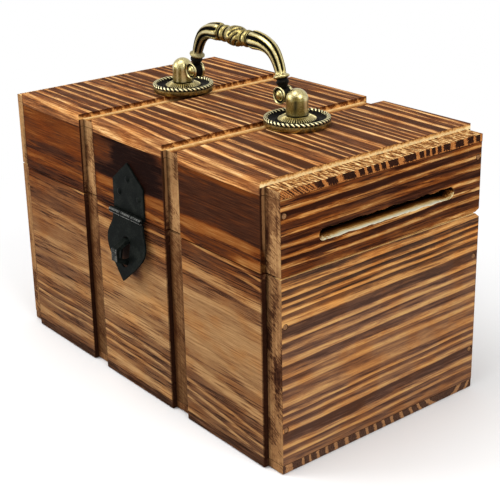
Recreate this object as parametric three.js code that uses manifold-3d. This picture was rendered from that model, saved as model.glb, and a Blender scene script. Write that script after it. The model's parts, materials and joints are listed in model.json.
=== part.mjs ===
// Wooden money box: a burnt-pine chest sawn into a base and a hinged lid, with a coin slot in
// the lid's right end, a cast bail handle on top and an iron hasp and staple in front.
// Millimetres, +Z up. X runs along the length, the front looks along -Y, and the origin is the
// middle of the underside.

import * as THREE from 'three';
import { mergeVertices } from 'three/addons/utils/BufferGeometryUtils.js';
import ManifoldModule from 'manifold-3d';

const wasm = await ManifoldModule();
wasm.setup();

// ---- driving dimensions -------------------------------------------------------------------

const length = 203;
const depth = 120;
const height = 125;
const seam = 86.8; // height of the saw cut between base and lid
const kerf = 0.5;
const topBoard = 5.8;
const bottomBoard = 4;
const wallBoard = 9;
const glueLine = 0.1;

const grooveDepth = 2.3; // grooves and end rebates around the outside
const rebate = 9; // width of the end rebates
const grooveInner = 27.5; // where each groove starts and ends, from the middle
const grooveOuter = 38.9;

const notchDepth = 4.9; // V along the back of the seam, room for the hinge barrels
const notchUp = 2.2;
const notchDown = 3.8;

const slotLength = 78; // coin slot
const slotHeight = 5;
const slotMiddle = { y: 1.5, z: 99.9 };

const handle = { x: 42.6, y: 2.6 }; // middle of each rosette
const rosetteRadius = 15;
const hubHeight = 4.2; // seat of the posts
const collarHeight = 6.8; // top of the collar around each post
const postRadius = 5;
const postTop = 16.4; // above the top board
const pivotHeight = 12;
const pivotRadius = 1.4;
const endPlay = 0.7; // the bail has slid this far towards the right post
const screwRadius = 2;

const hingeMiddle = 64; // butt hinges at the back
const hingeAxis = { y: 58.6, z: seam };
const hingeLength = 24;
const hingeBarrel = 1.7;
const hingePin = 0.7;
const hingeLeaf = 0.9;

const haspAxis = { x: 0.9, y: -62, z: seam };
const haspBarrel = 1.4;
const haspPin = 0.5;
const haspSheet = 0.8;
const haspHalf = 12;
const haspBarrelShift = -0.6; // the curls and the pin sit this far off the leaves' middle
const haspTilt = 8.6; // degrees that the leaf hangs off the wood
const staple = {
  x: 0.9, z: 69.9, half: 6, width: 3.6, sheet: 1.9, bend: 4.2, nose: 10.2, flat: 2.7, leg: 6.5,
};

const gap = 0.3; // between pieces that pass through one another
const pinGap = 0.2; // around the hasp's and the hinges' pins

// ---- helpers ------------------------------------------------------------------------------

// A closed three.js geometry as a solid that can be cut and joined.
function solid(geometry) {
  const bare = geometry.clone();
  bare.deleteAttribute('normal');
  bare.deleteAttribute('uv');
  const merged = mergeVertices(bare, 1e-4);
  const source = merged.index.array;
  const triangles = [];
  for (let i = 0; i < source.length; i += 3) {
    const [a, b, c] = source.slice(i, i + 3);
    if (a !== b && b !== c && c !== a) triangles.push(a, b, c);
  }
  const vertProperties = new Float32Array(merged.attributes.position.array);
  const build = (triVerts) => new wasm.Manifold(new wasm.Mesh({
    numProp: 3, vertProperties, triVerts: new Uint32Array(triVerts),
  }));
  const body = build(triangles);
  return body.volume() > 0 ? body : build(triangles.toReversed());
}

function geometryOf(body) {
  const mesh = body.getMesh();
  const geometry = new THREE.BufferGeometry();
  geometry.setAttribute('position', new THREE.BufferAttribute(mesh.vertProperties, 3));
  geometry.setIndex(new THREE.BufferAttribute(mesh.triVerts, 1));
  const flat = geometry.toNonIndexed();
  flat.computeVertexNormals();
  return flat;
}

function block(x0, x1, y0, y1, z0, z1) {
  const geometry = new THREE.BoxGeometry(x1 - x0, y1 - y0, z1 - z0);
  return solid(geometry.translate((x0 + x1) / 2, (y0 + y1) / 2, (z0 + z1) / 2));
}

// A round bar from one point along X, Y or Z.
function bar(axis, radius, from, to, sides = 24) {
  const span = to[axis] - from[axis];
  const geometry = new THREE.CylinderGeometry(radius, radius, Math.abs(span), sides);
  if (axis === 'x') geometry.rotateZ(Math.PI / 2);
  if (axis === 'z') geometry.rotateX(Math.PI / 2);
  const middle = { x: from.x, y: from.y, z: from.z };
  middle[axis] += span / 2;
  return solid(geometry.translate(middle.x, middle.y, middle.z));
}

// A solid of revolution about Z, from [radius, height] pairs.
function turned(profile, sides, { x, y, z }) {
  const points = profile.map(([radius, rise]) => new THREE.Vector2(radius, rise));
  const geometry = new THREE.LatheGeometry(points, sides).rotateX(Math.PI / 2);
  return solid(geometry.translate(x, y, z));
}

// An outline in Y and Z, drawn as a shape, pushed along X.
function pushedAlongX(shape, x0, x1, curveSegments = 12) {
  const geometry = new THREE.ExtrudeGeometry(shape, {
    depth: x1 - x0, bevelEnabled: false, curveSegments,
  });
  geometry.applyMatrix4(new THREE.Matrix4().makeBasis(
    new THREE.Vector3(0, 1, 0), new THREE.Vector3(0, 0, 1), new THREE.Vector3(1, 0, 0),
  ));
  return solid(geometry.translate(x0, 0, 0));
}

// An outline in X and Z, drawn as a shape, pushed from y0 towards the front.
function pushedForward(shape, y0, thickness, curveSegments = 12) {
  const geometry = new THREE.ExtrudeGeometry(shape, {
    depth: thickness, bevelEnabled: false, curveSegments,
  });
  return solid(geometry.rotateX(Math.PI / 2).translate(0, y0, 0));
}

const finish = {
  burntPine: { color: 0x9a6a3c, roughness: 0.62, metalness: 0 },
  rawPine: { color: 0xd0a56a, roughness: 0.7, metalness: 0 },
  antiqueBrass: { color: 0x8f8460, roughness: 0.35, metalness: 1 },
  blackIron: { color: 0x232323, roughness: 0.55, metalness: 0.6 },
  steel: { color: 0x8b8b88, roughness: 0.4, metalness: 1 },
};

const moneyBox = new THREE.Group();

function place(name, body, look) {
  const mesh = new THREE.Mesh(geometryOf(body), new THREE.MeshStandardMaterial(look));
  mesh.name = name;
  moneyBox.add(mesh);
}

// ---- the chest's outside cuts -------------------------------------------------------------

const endX = length / 2;
const frontY = -depth / 2;
const backY = depth / 2;
const beyond = 5;
const wallX = endX - wallBoard;
const innerY = backY - wallBoard;

const cutBands = [
  [-endX - beyond, -endX + rebate],
  [-grooveOuter, -grooveInner],
  [grooveInner, grooveOuter],
  [endX - rebate, endX + beyond],
];

function groovesAround() {
  let cuts = null;
  for (const [x0, x1] of cutBands) {
    const front = block(x0, x1, frontY - beyond, frontY + grooveDepth, -beyond, height + beyond);
    const back = block(x0, x1, backY - grooveDepth, backY + beyond, -beyond, height + beyond);
    const top = block(x0, x1, frontY - beyond, backY + beyond, height - grooveDepth, height + beyond);
    const band = front.add(back).add(top);
    cuts = cuts ? cuts.add(band) : band;
  }
  return cuts;
}

function seamNotch() {
  const slope = beyond / notchDepth;
  const shape = new THREE.Shape([
    new THREE.Vector2(backY - notchDepth, seam + kerf / 2),
    new THREE.Vector2(backY - notchDepth, seam - kerf / 2),
    new THREE.Vector2(backY + beyond, seam - kerf / 2 - notchDown * (1 + slope)),
    new THREE.Vector2(backY + beyond, seam + kerf / 2 + notchUp * (1 + slope)),
  ]);
  return pushedAlongX(shape, -endX - beyond, endX + beyond);
}

// The hinges are let into the seam, and their barrels into the V behind it.
function hingeMortises() {
  let cuts = null;
  for (const middle of [-hingeMiddle, hingeMiddle]) {
    const half = hingeLength / 2 + gap;
    const rise = kerf / 2 + hingeLeaf;
    const x0 = middle - half;
    const x1 = middle + half;
    const housing = block(x0, x1, innerY - beyond, backY + beyond, seam - rise, seam + rise);
    const round = bar('x', hingeBarrel + gap, { x: x0, ...hingeAxis }, { x: x1, ...hingeAxis });
    const both = housing.add(round);
    cuts = cuts ? cuts.add(both) : both;
  }
  return cuts;
}

const outsideCuts = groovesAround().add(seamNotch());

// ---- fasteners ----------------------------------------------------------------------------

// Brads hold the end boards to the front and back boards. Each stands in a drilled hole.
const brad = { radius: 0.6, head: 1.1, headDepth: 0.7, reach: 18 };
const bradY = backY - wallBoard / 2;

const bradPlaces = [
  { part: 'lid', row: '', z: 112.4 },
  { part: 'base', row: '_upper', z: 66 },
  { part: 'base', row: '_lower', z: 20 },
].flatMap(({ part, row, z }) => [-1, 1].flatMap((end) => [-1, 1].map((side) => ({
  name: `${part}_brad_${end < 0 ? 'left' : 'right'}_${side < 0 ? 'front' : 'back'}${row}`,
  part,
  end,
  y: side * bradY,
  z,
}))));

function bradShape({ end, y, z }, clearance) {
  const outer = end * (endX - 0.2);
  const shank = bar(
    'x',
    brad.radius + clearance,
    { x: outer, y, z },
    { x: outer - end * (brad.reach + clearance), y, z },
    12,
  );
  const head = bar(
    'x',
    brad.head + clearance,
    { x: end * (endX - 0.2 + 2 * clearance), y, z },
    { x: end * (endX - 0.2 - brad.headDepth - clearance), y, z },
    16,
  );
  return shank.add(head);
}

function drillBrads(board, part) {
  let drilled = board;
  for (const spot of bradPlaces) {
    if (spot.part === part) drilled = drilled.subtract(bradShape(spot, gap));
  }
  return drilled;
}

// Countersunk hinge nails stand upright in the board edges, two through each leaf.
const hingeNail = { radius: 0.55, head: 1, sink: 0.7, reach: 7, y: 53.1, spread: 7 };

const hingeNailPlaces = [];
for (const side of [-1, 1]) {
  for (const part of ['base', 'lid']) {
    for (const end of [-1, 1]) {
      const hand = side < 0 ? 'left' : 'right';
      const spot = end === side ? 'outer' : 'inner';
      const x = side * hingeMiddle + end * hingeNail.spread;
      hingeNailPlaces.push({ name: `${part}_hinge_nail_${hand}_${spot}`, part, x });
    }
  }
}

function hingeNailShape({ part, x }, clearance) {
  const { radius, head, sink, reach } = hingeNail;
  const profile = [
    [0, 0],
    [head + clearance, 0],
    [head + clearance, -0.15],
    [radius + clearance, -sink],
    [radius + clearance, -reach],
    [0, -reach - 0.8 - clearance],
  ];
  if (clearance) profile.splice(0, 2, [0, kerf], [head + clearance, kerf]);
  const nail = turned(profile, 12, { x: 0, y: 0, z: 0 });
  const side = part === 'base' ? -1 : 1;
  const turn = side > 0 ? [180, 0, 0] : [0, 0, 0];
  return nail.rotate(turn).translate([x, hingeNail.y, seam + side * (kerf / 2 + 0.05)]);
}

function drillHingeNails(body, part) {
  let drilled = body;
  for (const spot of hingeNailPlaces) {
    if (spot.part === part) drilled = drilled.subtract(hingeNailShape(spot, gap));
  }
  return drilled;
}

// Machine screws rise through the lid's top board into the handle posts.
function handleScrewHole(x) {
  return bar(
    'z',
    screwRadius + gap,
    { x, y: handle.y, z: height - topBoard - beyond },
    { x, y: handle.y, z: height + pivotHeight - pivotRadius - 1.8 },
  );
}

const haspNails = [
  { name: 'hasp_nail_top', x: haspAxis.x, z: 103.5 },
  { name: 'hasp_nail_left', x: haspAxis.x - 7, z: 96.3 },
  { name: 'hasp_nail_right', x: haspAxis.x + 8.4, z: 96 },
];
const haspNail = { radius: 0.7, head: 1.6, rise: 0.7, reach: 7.5 };

function haspNailShape({ x, z }, clearance) {
  const { radius, head, rise, reach } = haspNail;
  const onSheet = frontY - glueLine - haspSheet - 0.05;
  const profile = [
    [0, rise],
    [head * 0.55, rise * 0.8],
    [head * 0.9, rise * 0.35],
    [head, 0],
    [radius, 0],
    [radius, -reach],
    [0, -reach - 0.8],
  ];
  const hole = [
    [0, 2],
    [radius + clearance, 2],
    [radius + clearance, -reach - 1.2],
    [0, -reach - 1.2],
  ];
  const nail = turned(clearance ? hole : profile, 16, { x: 0, y: 0, z: 0 });
  return nail.rotate([90, 0, 0]).translate([x, onSheet, z]);
}

function drillHaspNails(body) {
  let drilled = body;
  for (const spot of haspNails) drilled = drilled.subtract(haspNailShape(spot, gap));
  return drilled;
}

// ---- hasp and staple ----------------------------------------------------------------------

// The staple's strip in Y and Z: a leg in the wood, an eight-sided loop and the other leg.
function stapleOutline(grow, leg) {
  const { half, sheet, bend, nose, flat } = staple;
  const edge = (inset) => [
    [frontY + leg, half - inset],
    [frontY - bend + inset * 0.25, half - inset],
    [frontY - nose + inset, flat - inset * 0.55],
  ];
  const outer = edge(-grow);
  const inner = edge(sheet + grow);
  const above = ([y, z]) => new THREE.Vector2(y, staple.z + z);
  const below = ([y, z]) => new THREE.Vector2(y, staple.z - z);
  return new THREE.Shape([
    ...outer.map(above),
    ...outer.toReversed().map(below),
    ...inner.map(below),
    ...inner.toReversed().map(above),
  ]);
}

function stapleShape() {
  const half = staple.width / 2;
  return pushedAlongX(stapleOutline(0, staple.leg), staple.x - half, staple.x + half);
}

function stapleHoles() {
  const half = staple.width / 2 + gap;
  return pushedAlongX(stapleOutline(gap, staple.leg + gap), staple.x - half, staple.x + half);
}

function knuckle(radius, axis, x0, x1) {
  return bar('x', radius, { ...axis, x: axis.x + x0 }, { ...axis, x: axis.x + x1 });
}

const haspKnuckle = haspHalf * 0.34;

function haspUpperLeaf() {
  const x = haspAxis.x;
  const foot = haspAxis.z + 0.2;
  const shape = new THREE.Shape([
    new THREE.Vector2(x - haspHalf, foot),
    new THREE.Vector2(x + haspHalf, foot),
    new THREE.Vector2(x + haspHalf, foot + 14.5),
    new THREE.Vector2(x, foot + 24.2),
    new THREE.Vector2(x - haspHalf, foot + 14.5),
  ]);
  const sheet = pushedForward(shape, frontY - glueLine, haspSheet);
  const reach = haspHalf + 0.3;
  const curl = knuckle(haspBarrel, haspAxis, haspBarrelShift - reach, haspBarrelShift + reach);
  const opening = knuckle(haspBarrel + gap, haspAxis, -haspKnuckle - gap, haspKnuckle + gap);
  const bore = knuckle(haspPin + pinGap, haspAxis, -haspHalf - beyond, haspHalf + beyond);
  return drillHaspNails(sheet.add(curl).subtract(opening).subtract(bore));
}

// The hanging leaf is drawn straight down from the pin, then swung out to where it hangs.
function haspLowerLeaf() {
  const x = haspAxis.x;
  const top = -haspBarrel - gap - 0.1;
  const shape = new THREE.Shape();
  shape.moveTo(haspHalf, top);
  shape.lineTo(haspHalf, -4.6);
  shape.bezierCurveTo(12.8, -7, 15.2, -9.4, 15.2, -12.6);
  shape.bezierCurveTo(15.2, -16.6, 12.4, -19.4, 8.1, -23.6);
  shape.quadraticCurveTo(3.4, -27.8, 0, -30.7);
  shape.quadraticCurveTo(-3.4, -27.8, -8.1, -23.6);
  shape.bezierCurveTo(-12.4, -19.4, -15.2, -16.6, -15.2, -12.6);
  shape.bezierCurveTo(-15.2, -9.4, -12.8, -7, -haspHalf, -4.6);
  shape.lineTo(-haspHalf, top);
  const slot = new THREE.Path();
  const slotTop = -9.8;
  const slotFoot = -24.2;
  const slotHalf = 3.2;
  slot.moveTo(-slotHalf, slotTop - slotHalf);
  slot.lineTo(-slotHalf, slotFoot + slotHalf);
  slot.absarc(0, slotFoot + slotHalf, slotHalf, Math.PI, 2 * Math.PI, false);
  slot.lineTo(slotHalf, slotTop - slotHalf);
  slot.absarc(0, slotTop - slotHalf, slotHalf, 0, Math.PI, false);
  shape.holes.push(slot);
  const inside = haspBarrel; // the sheet leaves the curl on its wood side
  const sheet = pushedForward(shape, inside, haspSheet, 6);
  const neck = block(-haspKnuckle, haspKnuckle, inside - haspSheet, inside, top - 0.5, 0);
  const origin = { x: 0, y: 0, z: 0 };
  const curl = knuckle(haspBarrel, origin, -haspKnuckle, haspKnuckle);
  const bore = knuckle(haspPin + pinGap, origin, -haspHalf, haspHalf);
  const leaf = sheet.add(neck).add(curl).subtract(bore);
  return leaf.rotate([-haspTilt, 0, 0]).translate([x, haspAxis.y, haspAxis.z]);
}

function haspPinShape() {
  const reach = haspHalf + 0.8;
  return knuckle(haspPin, haspAxis, haspBarrelShift - reach, haspBarrelShift + reach);
}

// ---- butt hinges --------------------------------------------------------------------------

const hingeKnuckle = hingeLength / 6;

function hingeLeafShape(side, part) {
  const middle = side * hingeMiddle;
  const half = hingeLength / 2;
  const axis = { x: middle, ...hingeAxis };
  const low = part === 'base' ? seam - kerf / 2 - hingeLeaf + 0.1 : seam + kerf / 2;
  const plate = block(middle - half, middle + half, innerY + 0.2, hingeAxis.y, low, low + hingeLeaf - 0.1);
  let leaf = plate.add(knuckle(hingeBarrel, axis, -half, half));
  const clear = hingeBarrel + gap;
  const own = hingeKnuckle - gap / 2;
  const other = hingeKnuckle + gap / 2;
  const { y, z } = axis;
  const opening = (from, to) => (
    block(middle + from, middle + to, y - clear, y + clear, z - clear, z + clear)
  );
  if (part === 'base') {
    leaf = leaf.subtract(opening(-other, other));
  } else {
    leaf = leaf.subtract(opening(-half - gap, -own)).subtract(opening(own, half + gap));
  }
  leaf = leaf.subtract(knuckle(hingePin + pinGap, axis, -half - beyond, half + beyond));
  return drillHingeNails(leaf, part);
}

// ---- handle -------------------------------------------------------------------------------

function rosette(x) {
  const profile = [
    [screwRadius + gap, 0],
    [rosetteRadius - 0.6, 0],
    [rosetteRadius, 0.7],
    [rosetteRadius, 3.3],
    [rosetteRadius - 0.3, 3.9],
    [rosetteRadius - 0.9, 4.2],
    [rosetteRadius - 1.7, 3.9],
    [rosetteRadius - 2, 2.9],
    [rosetteRadius - 3, 2.2],
    [10.2, 2.1],
    [9.4, 2.6],
    [8.9, 3.7],
    [7.4, 5.7],
    [6.2, collarHeight],
    [postRadius + 0.2, collarHeight],
    [postRadius + 0.2, hubHeight],
    [screwRadius + gap, hubHeight],
    [screwRadius + gap, 0],
  ];
  return turned(profile, 40, { x, y: handle.y, z: height + glueLine });
}

function post(x) {
  const shoulder = postTop - postRadius;
  const profile = [
    [0, hubHeight + 0.15],
    [postRadius - 0.3, hubHeight + 0.15],
    [postRadius, hubHeight + 0.6],
    [postRadius, shoulder],
  ];
  const steps = 6;
  for (let i = 1; i < steps; i += 1) {
    const angle = (Math.PI / 2) * (i / steps);
    profile.push([postRadius * Math.cos(angle), shoulder + postRadius * Math.sin(angle)]);
  }
  profile.push([0, postTop]);
  const dome = turned(profile, 28, { x, y: handle.y, z: height + glueLine });
  const inward = -Math.sign(x);
  const z = height + pivotHeight;
  const socket = bar(
    'x',
    pivotRadius + gap,
    { x: x - inward * 1.8, y: handle.y, z },
    { x: x + inward * (postRadius + beyond), y: handle.y, z },
  );
  return dome.subtract(handleScrewHole(x)).subtract(socket);
}

// The bail's middle line, from eye to eye, in X and height above the top.
const bailHalf = [
  [32.6, 14.3], [31.9, 17.5], [31, 20.6], [29.9, 23.8], [28.2, 27.2],
  [25.3, 30.6], [20.8, 32.8], [14.5, 33.6], [7, 33.5],
];
const bailLine = new THREE.CatmullRomCurve3([
  ...bailHalf.map(([x, z]) => new THREE.Vector3(-x, 0, z)),
  new THREE.Vector3(0, 0, 33.5),
  ...bailHalf.toReversed().map(([x, z]) => new THREE.Vector3(x, 0, z)),
]);

// Half the width of the casting, by distance from its middle: knob, beads, flare, tapering
// arm, collar and neck.
const bailOutline = [
  [0, 4.75], [1.8, 4.7], [3.6, 4.35], [5.2, 3.6], [6.2, 2.9], [6.9, 3.5],
  [8.1, 4], [9.3, 3.6], [9.9, 3.1], [10.5, 3.7], [11.1, 3.2], [12.3, 3.2],
  [13.5, 3.7], [14.2, 3.2], [19, 3.1], [25, 2.9], [31, 2.6], [36, 2.45],
];
const bailFoot = [[0, 1.6], [2.2, 2.1], [4.4, 2.3], [5.2, 3.6], [6.3, 3.7], [7, 2.4]]; // from each end

function bail() {
  const total = bailLine.getLength();
  const middle = total / 2;
  const right = [
    ...bailOutline.map(([s, r]) => [middle + s, r]),
    ...bailFoot.toReversed().map(([s, r]) => [total - s, r]),
  ];
  const left = right.slice(1).toReversed().map(([s, r]) => [total - s, r]);
  const profile = [[0, 0], ...left.map(([s, r]) => [r, s]), ...right.map(([s, r]) => [r, s]), [0, total]];
  const points = profile.map(([r, s]) => new THREE.Vector2(r, s));
  const rod = new THREE.LatheGeometry(points, 20);
  const spots = rod.attributes.position;
  for (let i = 0; i < spots.count; i += 1) {
    const along = THREE.MathUtils.clamp(spots.getY(i) / total, 0, 1);
    const at = bailLine.getPointAt(along);
    const heading = bailLine.getTangentAt(along);
    const outward = spots.getX(i);
    spots.setXYZ(i, at.x - outward * heading.z, spots.getZ(i), at.z + outward * heading.x);
  }
  let casting = solid(rod);
  const eyeX = 32.8;
  const eyeRadius = 3.5;
  const eyeHalf = 2.8;
  for (const side of [-1, 1]) {
    const spot = { x: side * eyeX, y: 0, z: pivotHeight };
    const eye = bar('y', eyeRadius, { ...spot, y: -eyeHalf }, { ...spot, y: eyeHalf }, 28);
    const peg = bar('x', pivotRadius, spot, { ...spot, x: side * (handle.x - postRadius + 3.1) });
    casting = casting.add(eye).add(peg);
  }
  return casting.translate([endPlay, handle.y, height]);
}

function handleScrew(x) {
  const underside = height - topBoard;
  const washer = 0.9;
  const top = pivotHeight - pivotRadius - 2.4 + topBoard + washer;
  const profile = [
    [0, -2.4],
    [2.6, -2.2],
    [3.7, -1.2],
    [3.9, 0],
    [screwRadius, 0],
    [screwRadius, top - 0.6],
    [screwRadius - 0.6, top],
    [0, top],
  ];
  return turned(profile, 20, { x, y: handle.y, z: underside - washer - 0.15 });
}

function handleWasher(x) {
  const inner = screwRadius + gap;
  const profile = [[inner, -0.8], [5.2, -0.8], [5.2, 0], [inner, 0], [inner, -0.8]];
  return turned(profile, 24, { x, y: handle.y, z: height - topBoard - 0.1 });
}

// ---- boards -------------------------------------------------------------------------------

const lidFoot = seam + kerf / 2;
const baseTop = seam - kerf / 2;
const underTop = height - topBoard - glueLine;
const aboveBottom = bottomBoard + glueLine;
const mortises = hingeMortises();

function wallBoards(part, z0, z1) {
  const side = wallX - glueLine;
  const front = block(-side, side, frontY, -innerY, z0, z1).subtract(outsideCuts);
  const back = block(-side, side, innerY, backY, z0, z1).subtract(outsideCuts).subtract(mortises);
  const left = block(-endX, -wallX, frontY, backY, z0, z1).subtract(outsideCuts);
  const right = block(wallX, endX, frontY, backY, z0, z1).subtract(outsideCuts);
  return {
    front: drillBrads(front, part),
    back: drillHingeNails(drillBrads(back, part), part),
    left: drillBrads(left, part),
    right: drillBrads(right, part),
  };
}

function coinSlot() {
  const half = slotHeight / 2;
  const run = slotLength / 2 - half;
  const { y, z } = slotMiddle;
  const shape = new THREE.Shape();
  shape.moveTo(y - run, z - half);
  shape.lineTo(y + run, z - half);
  shape.absarc(y + run, z, half, -Math.PI / 2, Math.PI / 2, false);
  shape.lineTo(y - run, z + half);
  shape.absarc(y - run, z, half, Math.PI / 2, (3 * Math.PI) / 2, false);
  return pushedAlongX(shape, wallX - beyond, endX + beyond, 8);
}

const base = wallBoards('base', aboveBottom, baseTop);
const lid = wallBoards('lid', lidFoot, underTop);

const top = block(-endX, endX, frontY, backY, height - topBoard, height)
  .subtract(outsideCuts)
  .subtract(handleScrewHole(-handle.x))
  .subtract(handleScrewHole(handle.x));
const bottom = block(-endX, endX, frontY, backY, 0, bottomBoard).subtract(outsideCuts);

// ---- the assembly -------------------------------------------------------------------------

place('bottom_board', bottom, finish.burntPine);
place('base_front_board', base.front.subtract(stapleHoles()), finish.burntPine);
place('base_back_board', base.back, finish.burntPine);
place('base_left_end_board', base.left, finish.burntPine);
place('base_right_end_board', base.right, finish.burntPine);

place('lid_top_board', top, finish.burntPine);
place('lid_front_board', drillHaspNails(lid.front), finish.burntPine);
place('lid_back_board', lid.back, finish.burntPine);
place('lid_left_end_board', lid.left, finish.burntPine);
place('lid_right_end_board', lid.right.subtract(coinSlot()), finish.rawPine);

for (const spot of bradPlaces) place(spot.name, bradShape(spot, 0), finish.steel);

for (const side of [-1, 1]) {
  const hand = side < 0 ? 'left' : 'right';
  const half = hingeLength / 2;
  place(`base_hinge_leaf_${hand}`, hingeLeafShape(side, 'base'), finish.steel);
  place(`lid_hinge_leaf_${hand}`, hingeLeafShape(side, 'lid'), finish.steel);
  const pin = knuckle(hingePin, { x: side * hingeMiddle, ...hingeAxis }, -half, half);
  place(`hinge_pin_${hand}`, pin, finish.steel);
}
for (const spot of hingeNailPlaces) place(spot.name, hingeNailShape(spot, 0), finish.steel);

place('hasp_upper_leaf', haspUpperLeaf(), finish.blackIron);
place('hasp_lower_leaf', haspLowerLeaf(), finish.blackIron);
place('hasp_pin', haspPinShape(), finish.blackIron);
for (const spot of haspNails) place(spot.name, haspNailShape(spot, 0), finish.blackIron);
place('hasp_staple', stapleShape(), finish.blackIron);

for (const side of [-1, 1]) {
  const hand = side < 0 ? 'left' : 'right';
  const x = side * handle.x;
  place(`handle_rosette_${hand}`, rosette(x), finish.antiqueBrass);
  place(`handle_post_${hand}`, post(x), finish.antiqueBrass);
  place(`handle_screw_${hand}`, handleScrew(x), finish.steel);
  place(`handle_washer_${hand}`, handleWasher(x), finish.steel);
}
place('bail_handle', bail(), finish.antiqueBrass);

export default moneyBox;
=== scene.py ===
"""Wooden money box: burnt pine boards, an antique brass handle and a black iron hasp."""

import json
import math
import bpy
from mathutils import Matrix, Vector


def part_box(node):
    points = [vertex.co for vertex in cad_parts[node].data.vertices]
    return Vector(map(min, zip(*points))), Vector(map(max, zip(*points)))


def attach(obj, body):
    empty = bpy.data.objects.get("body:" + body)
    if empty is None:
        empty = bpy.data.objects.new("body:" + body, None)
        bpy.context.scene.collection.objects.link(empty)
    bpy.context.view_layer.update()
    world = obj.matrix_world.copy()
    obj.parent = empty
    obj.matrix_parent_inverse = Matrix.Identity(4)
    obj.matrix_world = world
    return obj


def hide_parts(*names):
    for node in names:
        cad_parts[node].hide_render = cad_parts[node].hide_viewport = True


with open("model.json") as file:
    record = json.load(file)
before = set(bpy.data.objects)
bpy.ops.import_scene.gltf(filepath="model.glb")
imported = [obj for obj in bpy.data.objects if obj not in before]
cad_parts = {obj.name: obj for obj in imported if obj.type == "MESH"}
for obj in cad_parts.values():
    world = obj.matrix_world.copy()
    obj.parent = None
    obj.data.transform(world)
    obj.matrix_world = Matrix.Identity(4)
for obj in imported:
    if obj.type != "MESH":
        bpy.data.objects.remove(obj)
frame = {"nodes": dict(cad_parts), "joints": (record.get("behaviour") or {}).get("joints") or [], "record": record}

from types import SimpleNamespace

import bmesh
import bpy
from bpy.props import FloatProperty, FloatVectorProperty, IntProperty, PointerProperty
from mathutils import Matrix, Vector, noise

bl_info = {
    "name": "Wooden money box",
    "version": (1, 0, 0),
    "blender": (4, 5, 0),
    "location": "3D View > Sidebar > Money box",
    "description": "Builds the visible pieces of a burnt pine money box round its frame",
    "category": "Object",
}

MM = 0.001
NODES = frame["nodes"]
BODIES = frame["record"]["behaviour"]["bodies"]
BODY_OF = {node: body for body, members in BODIES.items() for node in members}
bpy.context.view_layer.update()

# ---- sizes of the chest, in millimetres ----

TOP_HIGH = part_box("lid_top_board")[1] / MM
END_LOW, END_HIGH = (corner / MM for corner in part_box("lid_right_end_board"))
BOTTOM_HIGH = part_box("bottom_board")[1] / MM
ROSETTE_LOW, ROSETTE_HIGH = (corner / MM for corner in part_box("handle_rosette_right"))
LEFT_ROSETTE_LOW, LEFT_ROSETTE_HIGH = (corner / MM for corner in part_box("handle_rosette_left"))

HALF_LENGTH = TOP_HIGH.x
HALF_DEPTH = TOP_HIGH.y
TOP = TOP_HIGH.z
LID_WALL_TOP = END_HIGH.z
SEAM = END_LOW.z - 0.25
END_WALL = END_LOW.x  # where an end board begins
INNER_WALL = HALF_DEPTH - 9  # the front and back boards' inner faces
GROOVE_INNER = 27.5
GROOVE_OUTER = 38.9
GROOVE_DEPTH = 2.3
HANDLE = (ROSETTE_LOW + ROSETTE_HIGH) / 2
HANDLE_LEFT = (LEFT_ROSETTE_LOW + LEFT_ROSETTE_HIGH) / 2
SLOT_Y = 1.5
SLOT_Z = 99.9
SLOT_HALF_LENGTH = 39
SLOT_HALF_HEIGHT = 2.5
HASP_KNUCKLE = 4.1  # half the length of the hasp's middle knuckle


def joint_place(name):
    joint = next(j for j in frame["joints"] if j["name"] == name)
    return Vector(joint["pos_m"]) / MM


def limited(value):
    """Keeps a value between 0 and 1."""
    return max(0, min(1, value))


def turns(up, over):
    """The direction of (over, up), in whole turns."""
    return math.atan2(up, over) / math.tau


# ---- bench tools ----


def rest_tools():
    """Leaves edit mode and lets go of everything."""
    if bpy.context.object and bpy.context.object.mode != "OBJECT":
        bpy.ops.object.mode_set(mode="OBJECT")
    bpy.ops.object.select_all(action="DESELECT")


def take(piece):
    rest_tools()
    piece.select_set(True)
    bpy.context.view_layer.objects.active = piece


def open_mesh(piece, kind="VERT"):
    take(piece)
    bpy.ops.object.mode_set(mode="EDIT")
    bpy.ops.mesh.select_mode(type=kind)


def pick_all():
    bpy.ops.mesh.select_all(action="SELECT")


def pick(piece, kind, rule):
    """Selects the vertices or edges for which rule is true, and says how many there are."""
    bpy.ops.mesh.select_mode(type=kind)
    bpy.ops.mesh.select_all(action="DESELECT")
    mesh = bmesh.from_edit_mesh(piece.data)
    chosen = [part for part in (mesh.verts if kind == "VERT" else mesh.edges) if rule(part)]
    for part in chosen:
        part.select_set(True)
    mesh.select_flush_mode()
    bmesh.update_edit_mesh(piece.data)
    return len(chosen)


def settle(piece):
    """Puts a piece's place, turn and size into its mesh."""
    take(piece)
    bpy.ops.object.transform_apply(location=True, rotation=True, scale=True)


def modify(piece, kind, **settings):
    """Adds a modifier and applies it."""
    take(piece)
    bpy.ops.object.modifier_add(type=kind)
    modifier = piece.modifiers[-1]
    for name, value in settings.items():
        setattr(modifier, name, value)
    bpy.ops.object.modifier_apply(modifier=modifier.name)
    rest_tools()


def copy_of(node, name):
    """A new piece with the merged mesh of a frame node, its flat faces whole again."""
    piece = bpy.data.objects.new(name, NODES[node].data.copy())
    piece.data.name = name
    piece.data.materials.clear()
    bpy.context.scene.collection.objects.link(piece)
    open_mesh(piece)
    pick_all()
    bpy.ops.mesh.remove_doubles(threshold=2e-6)
    bpy.ops.mesh.dissolve_limited(angle_limit=math.radians(0.5))
    rest_tools()
    return piece


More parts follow.
